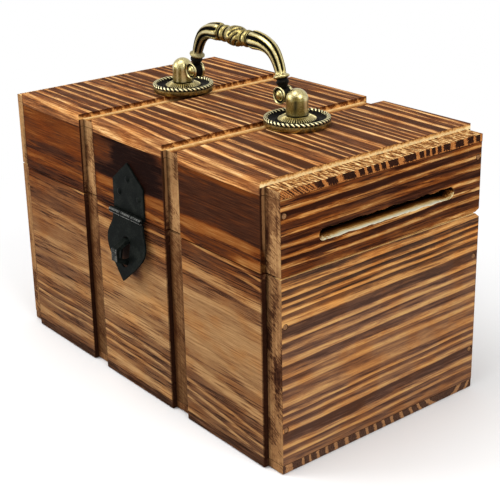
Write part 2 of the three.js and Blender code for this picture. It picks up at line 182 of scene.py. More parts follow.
def soften(piece, width, rule=None):
    """Rounds the convex edges that meet at more than 30 degrees and that the rule allows."""
    open_mesh(piece, "EDGE")

    def arris(edge):
        if len(edge.link_faces) != 2 or not edge.is_convex:
            return False
        if edge.calc_face_angle(0) < math.radians(30):
            return False
        return rule is None or rule((edge.verts[0].co + edge.verts[1].co) / 2 / MM, edge)

    if pick(piece, "EDGE", arris):
        bpy.ops.mesh.bevel(
            offset=width * MM,
            offset_type="OFFSET",
            segments=2,
            profile=0.5,
            affect="EDGES",
            clamp_overlap=True,
        )
    rest_tools()


def smooth(piece, angle=35):
    take(piece)
    bpy.ops.object.shade_smooth_by_angle(angle=math.radians(angle))
    modify(piece, "WEIGHTED_NORMAL", keep_sharp=True)


def turned(name, profile, steps, closed=False):
    """Spins a line of (radius, height) points, in millimetres, round Z."""
    rest_tools()
    bpy.ops.mesh.primitive_plane_add(size=MM, location=(0, 0, 0))
    piece = bpy.context.object
    piece.name = piece.data.name = name
    open_mesh(piece)
    pick_all()
    bpy.ops.mesh.merge(type="CENTER")
    radius, height = profile[0]
    bpy.ops.transform.translate(value=(radius * MM, 0, height * MM))
    points = profile[1:] + (profile[:1] if closed else [])
    for next_radius, next_height in points:
        step = (next_radius - radius, 0, next_height - height)
        bpy.ops.mesh.extrude_vertices_move(
            TRANSFORM_OT_translate={"value": tuple(v * MM for v in step)}
        )
        radius, height = next_radius, next_height
    pick_all()
    bpy.ops.mesh.spin(steps=steps, angle=math.tau, center=(0, 0, 0), axis=(0, 0, 1))
    pick_all()
    bpy.ops.mesh.remove_doubles(threshold=1e-6)
    bpy.ops.mesh.normals_make_consistent(inside=False)
    rest_tools()
    return piece


def join(main, others):
    take(main)
    for other in others:
        other.select_set(True)
    bpy.ops.object.join()
    rest_tools()


def bore(piece, radius, start, end):
    """Drills a round hole from one point to another, in millimetres."""
    rest_tools()
    start, end = Vector(start) * MM, Vector(end) * MM
    bpy.ops.mesh.primitive_cylinder_add(
        vertices=32,
        radius=radius * MM,
        depth=(end - start).length,
        location=(start + end) / 2,
        rotation=(end - start).to_track_quat("Z", "Y").to_euler(),
    )
    cutter = bpy.context.object
    modify(piece, "BOOLEAN", operation="DIFFERENCE", solver="EXACT", object=cutter)
    bpy.data.objects.remove(cutter)


def wear(piece, soot, polish=lambda place: 0):
    """Writes each point's soot and painted shade, and its polish and painted highlight, from its place in
    millimetres.
    """
    for name, rule in (("soot", soot), ("polish", polish)):
        layer = piece.data.attributes.new(name, "FLOAT", "POINT")
        for vertex, value in zip(piece.data.vertices, layer.data):
            value.value = limited(rule(vertex.co / MM))


def stands_for(piece, node, material):
    piece.data.materials.clear()
    piece.data.materials.append(material)
    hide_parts(node)
    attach(piece, BODY_OF[node])


# ---- shader tools ----


def colour(red, green, blue):
    """A colour written as on a paint card, 0 to 255, for a shader socket."""
    parts = []
    for value in (red, green, blue):
        share = value / 255
        parts.append(share / 12.92 if share <= 0.04045 else ((share + 0.055) / 1.055) ** 2.4)
    return (*parts, 1)


def paint(tint):
    """A colour from the settings, for a shader socket."""
    return (*tint, 1)


def set_stops(elements, stops):
    """Gives a ramp its stops, each (value, red, green, blue) or (value, tint from the settings)."""
    while len(elements) < len(stops):
        elements.new(0.5)
    for element, (place, *shade) in zip(elements, stops):
        element.position = place
        element.color = colour(*shade) if len(shade) == 3 else paint(*shade)


def operation(name, swapped=False):
    """One operation of the shader's Math node, as a method of a wire."""

    def method(self, *others):
        values = (*others, self) if swapped else (self, *others)
        return self.finish.add("ShaderNodeMath", {"operation": name}, dict(enumerate(values)))

    return method


class Wire:
    """A shader socket that can be used in sums."""

    def __init__(self, finish, socket):
        self.finish = finish
        self.socket = socket

    __add__ = __radd__ = operation("ADD")
    __mul__ = __rmul__ = operation("MULTIPLY")
    __sub__ = operation("SUBTRACT")
    __rsub__ = operation("SUBTRACT", swapped=True)
    __truediv__ = operation("DIVIDE")
    __pow__ = operation("POWER")
    __abs__ = operation("ABSOLUTE")
    most = operation("MAXIMUM")
    least = operation("MINIMUM")
    fraction = operation("FRACT")

    def rise(self, low, high):
        """Climbs smoothly from 0 at low to 1 at high."""
        return self.finish.add(
            "ShaderNodeMapRange",
            {"interpolation_type": "SMOOTHSTEP"},
            {"Value": self, "From Min": low, "From Max": high},
        )

    def fall(self, low, high):
        """Drops smoothly from 1 at low to 0 at high."""
        return 1 - self.rise(low, high)

    def between(self, low, high, edge):
        """1 from low to high, fading over the width of edge on either side."""
        return self.rise(low - edge, low) * self.fall(high, high + edge)

    def blend(self, share, other, mode="MIX"):
        """This colour with a share of another laid over it."""
        settings = {"data_type": "RGBA", "blend_type": mode, "clamp_factor": True}
        return self.finish.add("ShaderNodeMix", settings, {0: share, 6: self, 7: other}, 2)

    def ramp(self, *stops):
        """A colour for each value."""
        return self.finish.add("ShaderNodeValToRGB", {"stops": stops}, {"Fac": self})

    def tones(self, tones):
        """A colour for each value, from the palest of five tones at 0 to the blackest at 1."""
        return self.ramp(*[(at, *tone) for at, tone in zip(TONE_STOPS, tones)])


class Finish:
    """The nodes of a new material or world."""

    def __init__(self, name, kind="materials"):
        self.owner = getattr(bpy.data, kind).new(name)
        self.owner.use_nodes = True
        self.tree = self.owner.node_tree
        self.tree.nodes.clear()

    def add(self, kind, settings=None, sockets=None, output=0):
        """Adds a node, sets or wires its sockets, and gives one of its outputs."""
        node = self.tree.nodes.new(kind)
        for name, value in (settings or {}).items():
            if name == "stops":
                set_stops(node.color_ramp.elements, value)
            else:
                setattr(node, name, value)
        for name, value in (sockets or {}).items():
            if isinstance(value, Wire):
                self.tree.links.new(value.socket, node.inputs[name])
            else:
                node.inputs[name].default_value = value
        return Wire(self, node.outputs[output]) if node.outputs else None

    def axes(self, kind):
        """X, Y and Z of one of the texture coordinates."""
        coordinate = self.add("ShaderNodeTexCoord", output=kind)
        split = self.add("ShaderNodeSeparateXYZ", None, {0: coordinate})
        return [Wire(self, out) for out in split.socket.node.outputs]

    def place(self):
        """X, Y and Z in millimetres."""
        return [axis * 1000 for axis in self.axes("Object")]

    def seen(self):
        """1 for what is seen, straight or through gloss or glass."""
        kinds = ("Is Camera Ray", "Is Glossy Ray", "Is Transmission Ray")
        camera, glossy, clear = (self.add("ShaderNodeLightPath", output=kind) for kind in kinds)
        return camera.most(glossy).most(clear)

    def close(self, tint, rough, relief, depth, strength, others):
        """Ends a material in one shader, its relief up to depth millimetres."""
        sockets = {"Height": relief, "Distance": depth * MM, "Strength": strength}
        bump = self.add("ShaderNodeBump", None, sockets)
        sockets = {"Base Color": tint, "Roughness": rough, "Normal": bump, **others}
        shader = self.add("ShaderNodeBsdfPrincipled", None, sockets)
        self.add("ShaderNodeOutputMaterial", None, {"Surface": shader})
        return self.owner


def clouds(place, detail=2, roughness=0.5, scale=1):
    """Noise from 0 to 1 over a place."""
    x, y, z = place
    vector = x.finish.add("ShaderNodeCombineXYZ", None, {"X": x, "Y": y, "Z": z})
    sockets = {"Vector": vector, "Scale": scale, "Detail": detail, "Roughness": roughness}
    return x.finish.add("ShaderNodeTexNoise", None, sockets)


def waves(*settings):
    """Noise over a place that swings about 0."""
    return clouds(*settings) - 0.5


def line_clouds(value, detail=0):
    """Noise from 0 to 1 along one number, one wave or so for each whole step."""
    sockets = {"W": value, "Scale": 1, "Detail": detail}
    return value.finish.add("ShaderNodeTexNoise", {"noise_dimensions": "1D"}, sockets)


# ---- burnt pine ----

# From the palest wood to the blackest.
TOP_TONES = [(255, 220, 158), (214, 158, 98), (146, 92, 52), (100, 62, 40), (70, 42, 26)]
FRONT_TONES = [(186, 146, 98), (154, 116, 76), (126, 88, 56), (90, 60, 42), (48, 30, 20)]
RED_TONES = [(174, 128, 74), (134, 82, 38), (98, 49, 17), (60, 33, 20), (22, 8, 5)]
END_TONES = [(200, 156, 98), (168, 122, 79), (136, 96, 66), (100, 70, 55), (74, 51, 41)]
UPPER_END_TONES = [(216, 162, 96), (178, 124, 70), (130, 84, 48), (82, 55, 40), (54, 38, 30)]
LID_END_TONES = [(212, 168, 108), (148, 97, 48), (106, 58, 27), (74, 42, 26), (44, 22, 14)]
RAW_TONES = [(244, 222, 170), (234, 202, 146), (214, 174, 112), (196, 148, 92), (176, 128, 76)]
END_GRAIN_TONES = [(196, 134, 74), (160, 96, 48), (104, 56, 28), (54, 30, 20), (26, 14, 10)]
FOOT_TONES = [(178, 132, 88), (146, 104, 70), (116, 80, 58), (88, 62, 48), (60, 42, 34)]
SAWN_TONES = [(176, 136, 90), (146, 106, 68), (110, 74, 46), (68, 40, 25), (34, 16, 9)]
TORN_TONES = [(252, 220, 158), (206, 156, 94), (146, 92, 46), (86, 48, 24), (40, 20, 10)]
TONE_STOPS = (0, 0.28, 0.52, 0.76, 1)


def growth_rings(along, across, height, fibre, plan):
    """How burnt the wood is as its growth rings cross the board, and which ring part it is."""
    seed = plan.seed
    sway = waves((along * 0.007 + seed, across * 0.012, height * 0.012), 0)
    ripple = waves((along * 0.022 + seed * 2, across * 0.03, height * 0.03), 1)
    side = across - plan.heart[0] - along * plan.lean[0] + sway * plan.sway
    rise = height - plan.heart[1] - along * plan.lean[1] + ripple * plan.ripple
    radius = (side * side + rise * rise) ** 0.5
    uneven = line_clouds(radius * 0.32 / plan.ring + seed * 7) - 0.5
    turn = radius / plan.ring + uneven * plan.uneven + fibre * plan.ragged
    part = turn.fraction()
    band = part.rise(plan.pale * 0.4, plan.pale + 0.14) * part.fall(0.92, 0.995)
    strength = line_clouds(turn * 0.83 + seed * 5) + 0.5
    thread = waves((along * 0.012, turn * 1.6, seed), 5, 0.72)
    # Where the rings lie flat in the face they are broad, and darken less.
    crossing = abs(side if plan.cut in ("top", "bottom") else rise) / radius
    contrast = plan.flat + crossing.rise(0, 0.7) * (1 - plan.flat)
    return (band * strength * plan.band + thread * plan.thread) * contrast, band


def char_and_shade_spots(burn, across, height, spots):
    """Soft-edged places burnt to their own depth, and places darkened as painted shade where a plan asks: (across,
    height, half width, half height, burn, cover)."""
    grain = (across * 0.045, height * 0.16 + across * 0.012, 3)
    wander = waves(grain, 4, 0.6)
    for middle_across, middle_height, half_width, half_height, depth, cover in spots:
        a = (across - middle_across) / half_width
        b = (height - middle_height) / half_height
        a, b = a * a, b * b
        away = (a * a + b * b) ** 0.25 + wander * 1.1
        burn = burn + (depth - burn) * (away.fall(0.55, 1.3) * cover)
    return burn


def burnt_pine(name, plan, wood):
    """Torch-burnt pine that follows one board's own growth rings."""
    finish = Finish(name)
    place = x, y, z = finish.place()
    facing = finish.axes("Normal")
    lengthways = plan.cut not in ("end", "slotted")
    along, across = (x, y) if lengthways else (y, x)
    face_across, face_up = {"top": (x, y), "front": (x, z), "back": (x, z)}.get(plan.cut, (y, z))
    seed = plan.seed

    fibre = waves((along * 0.055 + seed, across * plan.hair, z * plan.hair), 4, 0.75)
    rings, band = growth_rings(along, across, z, fibre, plan)
    cloud = waves((along * 0.016 + seed, across * 0.03, z * 0.03), 3)
    line = waves((along * 0.016 + seed, across * 0.5, z * 0.5))
    thin_line = abs(line).fall(0.015, 0.06) * plan.lines * fibre.rise(-0.1, 0.08)
    burn = rings + plan.burn + cloud * plan.cloud + thin_line
    burn = char_and_shade_spots(burn, face_across, face_up, plan.spots) + fibre * plan.fibre
    tint = burn.tones(plan.tones)
    if plan.second_tones:
        share = (z + cloud * 40).rise(*plan.second_from)
        tint = tint.blend(share, burn.tones(plan.second_tones))
    glow = clouds((x * 0.05 + seed, y * 0.05, z * 0.09), 3, 0.6)
    glow = glow.rise(0.42, 0.66) * plan.glow
    tint = tint.blend(glow, tint.blend(1, colour(255, 222, 176), "MULTIPLY"))

    pores = waves((x * 1.8, y * 1.8, z * 1.8))
    if lengthways:
        end_grain = abs(facing[0]).rise(0.75, 0.9)
        blocks = (band + pores * 0.9).rise(0.25, 0.75)
        if plan.cut == "top":
            blocks = strip_blocks(blocks, y, z, pores)
        end_face = (blocks * 0.66 + pores * 0.7 + 0.2).tones(plan.end_tones)
        tint = tint.blend(end_grain, end_face)
        tint = grooves(tint, plan, place, facing[0], band)
    else:
        edge = HALF_DEPTH - GROOVE_DEPTH
        end_grain = abs(y).rise(edge - 0.35, edge - 0.15)
        tint = tint.blend(end_grain, sawn_face(place, plan.stain))

    raw = (rings * 0.6 + fibre * 0.5 + 0.12).tones(RAW_TONES)
    sawn = z.between(SEAM - 0.8, SEAM + 0.8, 0.02)
    inner = inside_mask(plan.cut, x, y, z).most(sawn * abs(facing[2]).rise(0.9, 0.97))
    if plan.cut not in ("front", "back"):
        # Painted shade: the faces in the joints between boards are near-black.
        raw = raw.blend(joint_shade_mask(plan.cut, x, y), colour(44, 24, 12))
    if lengthways:
        # Painted shade in the seam's gap: the sawn faces darken towards the outside.
        scorched = abs(y).rise(INNER_WALL + 3, INNER_WALL + 6) * sawn
        raw = raw.blend(scorched, colour(66, 30, 12))
    # The coin slot's wall carries painted light at its lip and painted shade deeper in.
    if plan.cut == "slotted":
        near = y.between(SLOT_Y - 41, SLOT_Y + 41, 0.1) * z.between(SLOT_Z - 4, SLOT_Z + 4, 0.1)
        wall = abs(facing[0]).fall(0.45, 0.8) * near
        inner = inner.most(wall)
        raw = raw.blend(wall, slot_wood(place, facing[2], fibre))
    tint = tint.blend(inner, raw).blend(1, wood, "MULTIPLY")

    relief = band * -0.5 + fibre + pores * end_grain * 1.2
    rough = 0.6 + fibre * 0.3 + inner * 0.15 + end_grain * 0.1
    return finish.close(tint, rough, relief, 0.22, 0.8, {"IOR": 1.45, "Specular IOR Level": 0.015})


def slot_wood(place, facing_up, fibre):
    """The coin slot's wall: pale with painted light at the lip, painted shade deeper in and on the downward-facing
    upper wall, torn at its front end.
    """
    x, y, z = place
    deep = (HALF_LENGTH - x) / (HALF_LENGTH - END_WALL) + fibre * 0.5
    deep = deep + facing_up.fall(-0.5, 0.3) * 0.5
    torn = waves((x * 1.3, y * 0.9, z * 1.3), 3, 0.7)
    front_end = y.fall(SLOT_Y - 35, SLOT_Y - 27)
    back_end = y.rise(SLOT_Y + 28, SLOT_Y + 37)
    deep = deep + front_end * (torn * 1.6 + 0.12) + back_end * (torn * 0.8 + 0.22)
    return deep.ramp(
        (0.14, 255, 250, 220),
        (0.3, 255, 226, 156),
        (0.42, 196, 132, 62),
        (0.62, 104, 58, 22),
        (0.86, 14, 7, 3),
    )


def strip_blocks(blocks, y, z, pores):
    """The late wood at the lid's end: thin leaning lines in front, faded along the lower edge."""
    lean = line_clouds((y + (z - TOP) * 1.3) * 0.85 + 11, 1)
    lines = (lean + pores * 0.3).rise(0.44, 0.56)
    blocks = blocks + (lines * 0.85 - blocks) * y.fall(-43, -37)
    lower = LID_WALL_TOP + 0.1
    return blocks * (z + pores * 2.4).rise(lower, lower + 0.8)


def inside_mask(cut, x, y, z):
    """1 on the faces that the torch never reached."""
    if cut in ("front", "back"):
        return abs(y).fall(INNER_WALL + 0.1, INNER_WALL + 0.3)
    if cut in ("end", "slotted"):
        return abs(x).fall(END_WALL + 0.1, END_WALL + 0.3)
    if cut == "top":
        return z.fall(LID_WALL_TOP + 0.15, LID_WALL_TOP + 0.3)
    return z.rise(BOTTOM_HIGH.z - 0.15, BOTTOM_HIGH.z - 0.05)


def joint_shade_mask(cut, x, y):
    """1 where a board's inner face lies on its neighbours' edges."""
    over_wall = abs(y).rise(INNER_WALL - 0.1, INNER_WALL + 0.1)
    if cut in ("top", "bottom"):
        return over_wall.most(abs(x).rise(END_WALL - 0.1, END_WALL + 0.1))
    return over_wall * abs(x).fall(END_WALL + 0.3, END_WALL + 0.4)


def sawn_face(place, stain):
    """A face cut across the grain: tan with upright streaks, clumps of saw marks and stains."""
    x, y, z = place
    streak = waves((x * 0.9, y * 0.9, z * 0.02), 3, 0.6)
    marks = clouds((x * 0.35, y * 0.35, z * 1.5 + x * 0.9 + y * 0.9), 3, 0.7)
    clumps = waves((x * 0.11 + 5, y * 0.11, z * 0.06))
    scribble = (marks + clumps * 1.3).rise(0.5, 0.66)
    smudge = clouds((x * 0.12, y * 0.12, z * 0.035 + 9), 3, 0.6).rise(0.45, 0.75)
    fuzz = waves((x * 0.7, y * 0.7, z * 0.7), 3, 0.7)
    low = z.fall(SEAM - 10, SEAM + 8)
    dark = streak * 0.7 + scribble * 0.42 + smudge * stain * 0.6 + fuzz * 0.6 + low * 0.18 + 0.12
    return dark.tones(SAWN_TONES)


def grooves(tint, plan, place, facing_x, band):
    """The grooves' floors and risers and the end rebates, tinted over the burnt face."""
    x, y, z = place
    wide = abs(x)
    in_groove = wide.between(GROOVE_INNER + 0.05, GROOVE_OUTER - 0.05, 0.1)
    ledge = wide.rise(END_WALL - 0.05, END_WALL + 0.05)
    above = TOP - GROOVE_DEPTH - 0.3 if plan.cut == "top" else TOP + 10
    on_top = z.rise(above, above + 0.2)
    from_left = abs(x - GROOVE_INNER).least(abs(x + GROOVE_OUTER))
    ragged = waves((x * 0.5, y * 0.75, z * 0.9), 4, 0.8)

    # The groove floors: sawn, with painted shadow at the foot of each riser, darker below the seam and towards the
    # left riser, and on the top torn, brightest at the foot of the riser.
    from_riser = from_left.least(abs(wide - END_WALL)) + ragged * 2.5
    riser_shadow = from_riser.fall(-0.3, 3.2) * 0.8
    nicks = clouds((x * 0.22, y * 0.22, z * 1.6 + x * 0.7), 3, 0.7)
    nicks = (nicks + ragged * 0.3).rise(0.42, 0.62)
    below = (z + ragged * 20).fall(SEAM - 6, SEAM + 5)
    darker = (nicks * 0.5 + 0.5 - from_left * 0.035) * below
    floor = sawn_face(place, 0.4).blend(riser_shadow, colour(50, 26, 14))
    floor = floor.blend(darker, colour(82, 48, 24))
    floor_top = (from_left * 0.13 + ragged * 0.9).tones(TORN_TONES)
    tint = tint.blend(in_groove, floor.blend(on_top, floor_top))

    # The end ledges: growth rings torn into short lines that run with the grain.
    lines = waves((x * 0.16, y * 0.8, 1), 3, 0.75)
    hatch = (lines + ragged * 0.3).rise(-0.16, 0.14)
    ledge_top = (hatch * 0.85).tones(TORN_TONES)
    ledge = ledge * abs(facing_x).fall(0.5, 0.8)
    tint = tint.blend(ledge, floor.blend(on_top, ledge_top))

    # A dark line along the arrises beside the grooves.
    arris = wide.between(GROOVE_INNER - 0.6, GROOVE_INNER, 0.3)
    arris = arris.most(wide.between(END_WALL - 0.6, END_WALL, 0.3))
    arris = arris * (1 - on_top) * ragged.rise(-0.3, 0.1) * 0.75
    tint = tint.blend(arris, colour(48, 24, 12))

    # Risers: on the front brown above and black below; on the top torn, palest at the ends.
    riser = abs(facing_x).rise(0.6, 0.8) * wide.fall(END_WALL + 0.3, END_WALL + 0.6)
    inward = (HALF_DEPTH - abs(y)) / GROOVE_DEPTH
    black = (z + ragged * 60).fall(SEAM - 8, SEAM + 14)
    black = black.most((inward + ragged * 0.5).fall(0.2, 0.5))
    front_riser = (0.32 + black * 0.62 + ragged * 0.3).tones(SAWN_TONES)
    down = (TOP - z) / GROOVE_DEPTH
    top_riser = (down * 0.7 + ragged * 1.5 + (1 - band) * 0.3).ramp(
        (0, 48, 24, 10), (0.42, 118, 64, 28), (0.8, 226, 168, 98)
    )
    end_riser = (down * 0.6 + ragged).ramp((0, 112, 62, 28), (0.2, 222, 166, 96), (0.42, 255, 228, 168))
    far = wide.rise(GROOVE_OUTER + 2, END_WALL - 2)
    return tint.blend(riser, front_riser.blend(on_top, top_riser.blend(far, end_riser)))


def plan_of(cut, seed, **own):
    """One board's wood: where its heart is and how its rings and its burn lie."""
    usual = {
        "lean": (0, 0), "ring": 4.5, "sway": 8, "ripple": 3, "uneven": 1.8,
        "ragged": 0.3, "pale": 0.3, "band": 0.6, "thread": 1, "burn": 0.2, "cloud": 0.4,
        "fibre": 1.15, "lines": 0.4, "glow": 0.5, "stain": 0.5, "flat": 0.3, "hair": 1,
        "spots": [], "tones": FRONT_TONES, "second_tones": None, "end_tones": END_GRAIN_TONES,
    }
    return SimpleNamespace(cut=cut, seed=seed, **{**usual, **own})


BOARD_PLANS = {
    "lid_top_board": plan_of(
        "top", 1.3, heart=(-72, 106), lean=(0, -0.07), ring=5.4, tones=TOP_TONES, burn=0.3, thread=0.8,
        ragged=0.4, ripple=2, band=0.55, uneven=1.4, flat=0.5, hair=1.3,
        spots=[(0, -60, 120, 6, 0.3, 0.5)],
    ),
    "lid_front_board": plan_of(
        "front", 4.1, heart=(-20, 140), lean=(0, -0.05), ring=5, sway=12, ripple=6, tones=RED_TONES,
        burn=0.34, band=0.35, thread=0.7, hair=1.6, fibre=0.85,
        spots=[
            (62, 107, 50, 12.6, 0.78, 0.97), (66, 119, 30, 1.8, 0.45, 0.8),
            (62, 95.5, 34, 2.6, 0.2, 0.8), (62, 91, 26, 1.6, 0.66, 0.8), (86, 88.6, 14, 2, 0.1, 0.8),
            (1, 108.4, 32, 13.4, 1.05, 0.97), (-20, 112, 9, 6, 0.55, 0.7), (-18, 98, 10, 2.6, 0.2, 0.8),
            (20, 97, 12, 3, 0.28, 0.8), (-66, 111, 34, 9, 0.54, 0.85),
            (-64, 101.5, 22, 2.2, 0.82, 0.85), (-66, 95, 30, 4, 0.46, 0.6),
        ],
    ),
    "base_front_board": plan_of(
        "front", 7.7, heart=(-28, 52), lean=(0, -0.06), ring=4.8, sway=14, ripple=4, band=0.46,
        thread=0.65, burn=0.16, second_tones=RED_TONES, cloud=0.42, second_from=(52, 96), hair=1.7,
        fibre=0.95,
        spots=[
            (52, 83, 20, 2.4, 0.72, 0.8), (66, 50, 36, 18, 0.3, 0.7), (-66, 76, 30, 7, 0.72, 0.6),
            (0, 60, 24, 12, 0.42, 0.6), (-74, 58, 36, 4, 0.7, 0.6), (-80, 42, 30, 3, 0.72, 0.5),
            # Painted shade: a near-black patch behind the hasp's lower leaf, seen through its slot.
            (-3.5, 68, 10.5, 11, 1.15, 1),
        ],
    ),
    "lid_back_board": plan_of(
        "back", 11.9, heart=(24, 90), lean=(0, 0.04), ring=4.8, sway=12, ripple=6, tones=RED_TONES,
        burn=0.3, band=0.4, spots=[(-40, 110, 40, 9, 0.85, 0.9)],
    ),
    "base_back_board": plan_of(
        "back", 14.2, heart=(26, 20), lean=(0, 0.05), ring=4.6, sway=12, ripple=5,
        second_tones=RED_TONES, second_from=(60, 96), spots=[(20, 60, 46, 12, 0.75, 0.8)],
    ),
    "bottom_board": plan_of(
        "bottom", 17.5, heart=(38, 11), lean=(0.01, 0), ring=5.4, burn=0.35, end_tones=FOOT_TONES,
    ),
    "base_right_end_board": plan_of(
        "end", 21.3, heart=(70, -60), lean=(0, 0.02), ring=5, ripple=2, uneven=1.9, tones=END_TONES,
        pale=0.42, thread=0.75, ragged=0.25, glow=0.6, stain=0.6, burn=0.16, cloud=0.3, lines=0.2,
        second_tones=UPPER_END_TONES, second_from=(52, 80),
        spots=[(10, 38, 70, 7, 0.3, 0.35), (10, 1, 90, 6, 0.7, 0.8)],
    ),
    "base_left_end_board": plan_of(
        "end", 25.1, heart=(-64, 150), lean=(0, -0.02), ring=5.2, ripple=2.5, uneven=2.2,
        tones=END_TONES, pale=0.4, band=0.5, ragged=0.35, glow=0.6, spots=[(10, 70, 40, 8, 0.8, 0.8)],
    ),
    "lid_right_end_board": plan_of(
        "slotted", 29.4, heart=(76, 10), lean=(0, 0.02), ripple=2, tones=LID_END_TONES, pale=0.44,
        burn=0.24, ragged=0.35, glow=0.7, stain=0.8,
    ),
    "lid_left_end_board": plan_of(
        "end", 33.8, heart=(-70, 30), lean=(0, -0.02), ripple=2, tones=LID_END_TONES, pale=0.42,
        burn=0.3, band=0.55, ragged=0.35, glow=0.7,
    ),
}


# ---- metals ----


def antique_brass(name, tints):
    """Brass gone dull, with soot in its hollows and its high places polished by hand, plus painted shade,
    highlights and reflections from the pieces' attributes.
    """
    finish = Finish(name)
    place = finish.place()
    soot = finish.add("ShaderNodeAttribute", {"attribute_name": "soot"}, None, "Fac")
    polish = finish.add("ShaderNodeAttribute", {"attribute_name": "polish"}, None, "Fac")
    fine = clouds(place, 3, 0.6, 1.6)
    broad = clouds(place, 2, 0.5, 0.22)
    tint = (fine * 0.5 + broad * 0.5).ramp((0.3, 88, 74, 34), (0.5, tints.brass), (0.7, 188, 174, 116))
    # Polished places and painted highlights take the polished tint; soot and painted shade take the soot tint.
    wear_and_highlight = (polish + (fine - 0.5) * 0.6).rise(0.1, 0.9)
    black = (soot + (fine - 0.5) * 0.35).rise(0.2, 0.7)
    tint = tint.blend(wear_and_highlight, paint(tints.polished_brass_and_highlight)).blend(black, paint(tints.soot))
    others = {"Metallic": 1 - black * 0.5, "Specular IOR Level": 0.1}
    return finish.close(tint, 0.24 + fine * 0.12 + black * 0.35, fine, 0.05, 0.5, others)


def black_iron(name, barrel, nose, tints):
    """Blacked iron, with painted highlights along the hinge barrel and on the staple's nose, a little metallic and
    smoother there.
    """
    finish = Finish(name)
    place = x, y, z = finish.place()
    fine = clouds(place, 4, 0.65, 1.4)
    broad = clouds(place, 2, 0.5, 0.16)
    tint = (fine * 0.55 + broad * 0.45).ramp((0.32, 6, 8, 7), (0.5, tints.iron), (0.68, 34, 37, 33))
    off_x, off_y, off_z = abs(x - barrel.x), y - barrel.y, z - barrel.z
    from_barrel = (off_y * off_y + off_z * off_z) ** 0.5
    # Painted highlights: two thin lines along the barrel, left out at the knuckle gaps, and the staple's nose.
    low_line = off_z.between(-1.2, -0.7, 0.25)
    top_line = off_z.between(0.55, 1, 0.3) * 0.45
    wear_and_highlight = low_line.most(top_line) * off_y.fall(-0.4, 0.1) * from_barrel.fall(1.4, 1.6)
    wear_and_highlight = wear_and_highlight * abs(off_x - HASP_KNUCKLE).rise(0.3, 0.6) * 0.8
    nose_edge = off_x.rise(1.2, 2.2) * 0.7 + 0.15
    wear_and_highlight = wear_and_highlight.most(y.fall(nose + 0.2, nose + 0.8) * nose_edge) * fine.rise(0.35, 0.65)
    tint = tint.blend(wear_and_highlight, paint(tints.iron_highlight))
    rough = 0.45 + (fine - 0.5) * 0.25 - wear_and_highlight * 0.1
    others = {"Metallic": wear_and_highlight * 0.7, "Specular IOR Level": 0.02}
    return finish.close(tint, rough, fine * 0.5 + broad, 0.12, 0.7, others)


def plain_steel(name, tints):
    finish = Finish(name)
    place = finish.place()
    fine = clouds(place, 3, 0.6, 1.8)
    broad = clouds(place, 2, 0.5, 0.3)
    tint = (broad * 0.6 + fine * 0.4).ramp((0.3, 104, 98, 90), (0.5, tints.steel), (0.7, 176, 173, 166))
    return finish.close(tint, 0.34 + fine * 0.15, fine, 0.04, 0.5, {"Metallic": 1})


def scorched_steel(name, tints):
    """Brads that went through the torch with their board."""
    finish = Finish(name)
    fine = clouds(finish.place(), 3, 0.6, 2.4)
    tint = fine.ramp((0.3, 92, 60, 38), (0.5, tints.brad), (0.7, 168, 124, 80))
    others = {"Metallic": 0, "Specular IOR Level": 0.1}
    return finish.close(tint, 0.5 + fine * 0.2, fine, 0.08, 0.6, others)


# ---- boards ----


def glued(place, edge):
    """True for an edge that lies in a tight glue joint."""
    run = (edge.verts[0].co - edge.verts[1].co).normalized()
    if abs(run.z) > 0.9:
        behind_riser = abs(place.y) < HALF_DEPTH - GROOVE_DEPTH + 0.5
        return behind_riser and abs(abs(place.x) - END_WALL) < 0.6
    return min(abs(place.z - LID_WALL_TOP), abs(place.z - BOTTOM_HIGH.z)) < 0.6


def outer_arris(place, edge):
    """True for an edge on the outside of the chest."""
    if glued(place, edge):
        return False
    outside = max(
        abs(place.x) - (HALF_LENGTH - 0.3),
        abs(place.y) - (HALF_DEPTH - GROOVE_DEPTH - 0.3),
        place.z - (TOP - GROOVE_DEPTH - 0.3),
        0.3 - place.z,
    )
    return outside > 0


def make_boards(sizes):
    for node, plan in BOARD_PLANS.items():
        piece = copy_of(node, node + "_burnt")
        soften(piece, sizes.arris, outer_arris)
        if plan.cut == "slotted":
            roughen_slot(piece, sizes.slot_chip)
        smooth(piece, 50)
        pine = burnt_pine(node + "_pine", plan, paint(sizes.wood))
        stands_for(piece, node, pine)


def roughen_slot(piece, chip):
    """The coin slot was sawn by hand: its lips wander a little."""
    open_mesh(piece)
    y = SLOT_Y - SLOT_HALF_LENGTH + 3
    while y < SLOT_Y + SLOT_HALF_LENGTH - 3:
        pick_all()
        bpy.ops.mesh.bisect(plane_co=(0, y * MM, 0), plane_no=(0, 1, 0))
        y += 1.6
    mesh = bmesh.from_edit_mesh(piece.data)
    for vertex in mesh.verts:
        place = vertex.co / MM
        up = place.z - SLOT_Z
        off = abs(place.y - SLOT_Y)
        if off < SLOT_HALF_LENGTH + 0.8 and 0 < abs(up) < SLOT_HALF_HEIGHT + 0.7:
            outer = (place.x - END_WALL) / (HALF_LENGTH - END_WALL)
            wander = noise.noise(Vector((place.y * 0.16, place.x * 0.08, 3 if up > 0 else 9)))
            small = noise.noise(Vector((place.y * 0.6, place.x * 0.3, 5 if up > 0 else 2)))
            shift = (wander + small * 0.5) * chip * (0.3 + 0.7 * outer)
            near_end = min(1, (SLOT_HALF_LENGTH - off) / 5)
            vertex.co.z += shift * MM * max(near_end, 0.15)
    bmesh.update_edit_mesh(piece.data)
    rest_tools()


# ---- iron and steel ----


def make_filed(node, ending, width, metal):
    """A frame node's own shape with softened edges."""
    piece = copy_of(node, node + ending)
    soften(piece, width)
    smooth(piece)
    stands_for(piece, node, metal)


